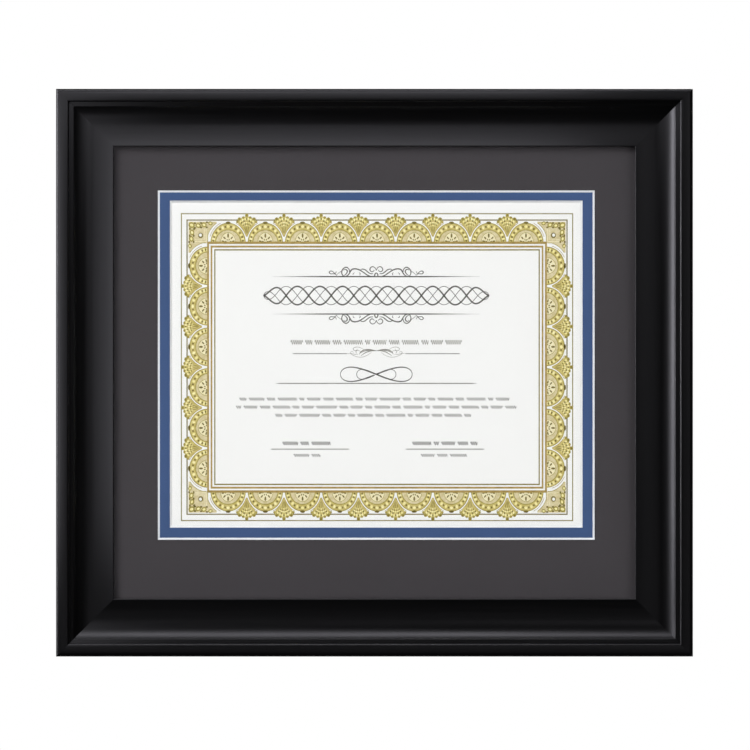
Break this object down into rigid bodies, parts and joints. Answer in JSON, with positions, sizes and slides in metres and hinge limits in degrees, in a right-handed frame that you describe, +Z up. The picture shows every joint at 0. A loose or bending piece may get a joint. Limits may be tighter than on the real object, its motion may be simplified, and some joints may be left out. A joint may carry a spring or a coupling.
{
  "type": "certificate frame",
  "caption": "Black scoop-moulded certificate frame with glass, a charcoal and blue double mat, a gold-bordered certificate, turn buttons on its backing board and D-ring hangers.",
  "frame": {"origin": "on the wall plane, midway between the two hooks that the rings hang from", "axes": "+Z up, +X to the viewer's right along the frame's width, +Y from the frame's face into the wall"},
  "size_m": [0.3722, 0.0295, 0.3319],
  "materials": {
    "black_lacquered_wood": "black satin lacquer over open-grained wood",
    "clear_glass": "clear picture glass",
    "charcoal_mat_paper": "matt charcoal facing paper",
    "blue_mat_paper": "matt blue facing paper",
    "white_mat_core": "white board core",
    "certificate_paper": "smooth white certificate stock",
    "clear_film": "clear polyester film",
    "mounting_board": "off-white mounting board",
    "brown_hardboard": "smooth brown hardboard",
    "nail_steel": "spring steel",
    "button_steel": "zinc-plated steel",
    "zinc_screw": "zinc-plated steel",
    "nickel_strap": "nickel-plated steel",
    "nickel_ring": "nickel-plated steel wire",
    "bumper_rubber": "soft black rubber"
  },
  "bodies": {
    "frame": {"top_rail": "black_lacquered_wood", "bottom_rail": "black_lacquered_wood", "left_rail": "black_lacquered_wood", "right_rail": "black_lacquered_wood", "corner_v_nails": "nail_steel", "glazing": "clear_glass", "outer_mat_facing": "charcoal_mat_paper", "outer_mat_core": "white_mat_core", "inner_mat_facing": "blue_mat_paper", "inner_mat_core": "white_mat_core", "certificate": "certificate_paper", "mounting_corners": "clear_film", "mounting_board": "mounting_board", "backing_board": "brown_hardboard", "turn_button_screws": "zinc_screw", "hanger_screws": "zinc_screw", "left_hanger_strap": "nickel_strap", "right_hanger_strap": "nickel_strap", "left_bumper": "bumper_rubber", "right_bumper": "bumper_rubber"},
    "top_left_button": {"turn_button_top_left": "button_steel"},
    "top_right_button": {"turn_button_top_right": "button_steel"},
    "bottom_left_button": {"turn_button_bottom_left": "button_steel"},
    "bottom_right_button": {"turn_button_bottom_right": "button_steel"},
    "left_button": {"turn_button_left": "button_steel"},
    "right_button": {"turn_button_right": "button_steel"},
    "left_ring": {"left_hanger_ring": "nickel_ring"},
    "right_ring": {"right_hanger_ring": "nickel_ring"}
  },
  "joints": [
    {"name": "top_left_button_turn", "type": "hinge", "parent": "frame", "child": "top_left_button", "pos_m": [-0.09255, -0.005, 0.05975], "axis": [0, 1, 0], "continuous": true},
    {"name": "top_right_button_turn", "type": "hinge", "parent": "frame", "child": "top_right_button", "pos_m": [0.09255, -0.005, 0.05975], "axis": [0, 1, 0], "continuous": true},
    {"name": "bottom_left_button_turn", "type": "hinge", "parent": "frame", "child": "bottom_left_button", "pos_m": [-0.09255, -0.005, -0.23165], "axis": [0, 1, 0], "continuous": true},
    {"name": "bottom_right_button_turn", "type": "hinge", "parent": "frame", "child": "bottom_right_button", "pos_m": [0.09255, -0.005, -0.23165], "axis": [0, 1, 0], "continuous": true},
    {"name": "left_button_turn", "type": "hinge", "parent": "frame", "child": "left_button", "pos_m": [-0.1659, -0.005, -0.08595], "axis": [0, 1, 0], "continuous": true},
    {"name": "right_button_turn", "type": "hinge", "parent": "frame", "child": "right_button", "pos_m": [0.1659, -0.005, -0.08595], "axis": [0, 1, 0], "continuous": true},
    {"name": "left_ring_swing", "type": "hinge", "parent": "frame", "child": "left_ring", "pos_m": [-0.17255, -0.0028, -0.0128], "axis": [-1, 0, 0], "range_deg": [0, 178]},
    {"name": "right_ring_swing", "type": "hinge", "parent": "frame", "child": "right_ring", "pos_m": [0.17255, -0.0028, -0.0128], "axis": [-1, 0, 0], "range_deg": [0, 178]}
  ]
}
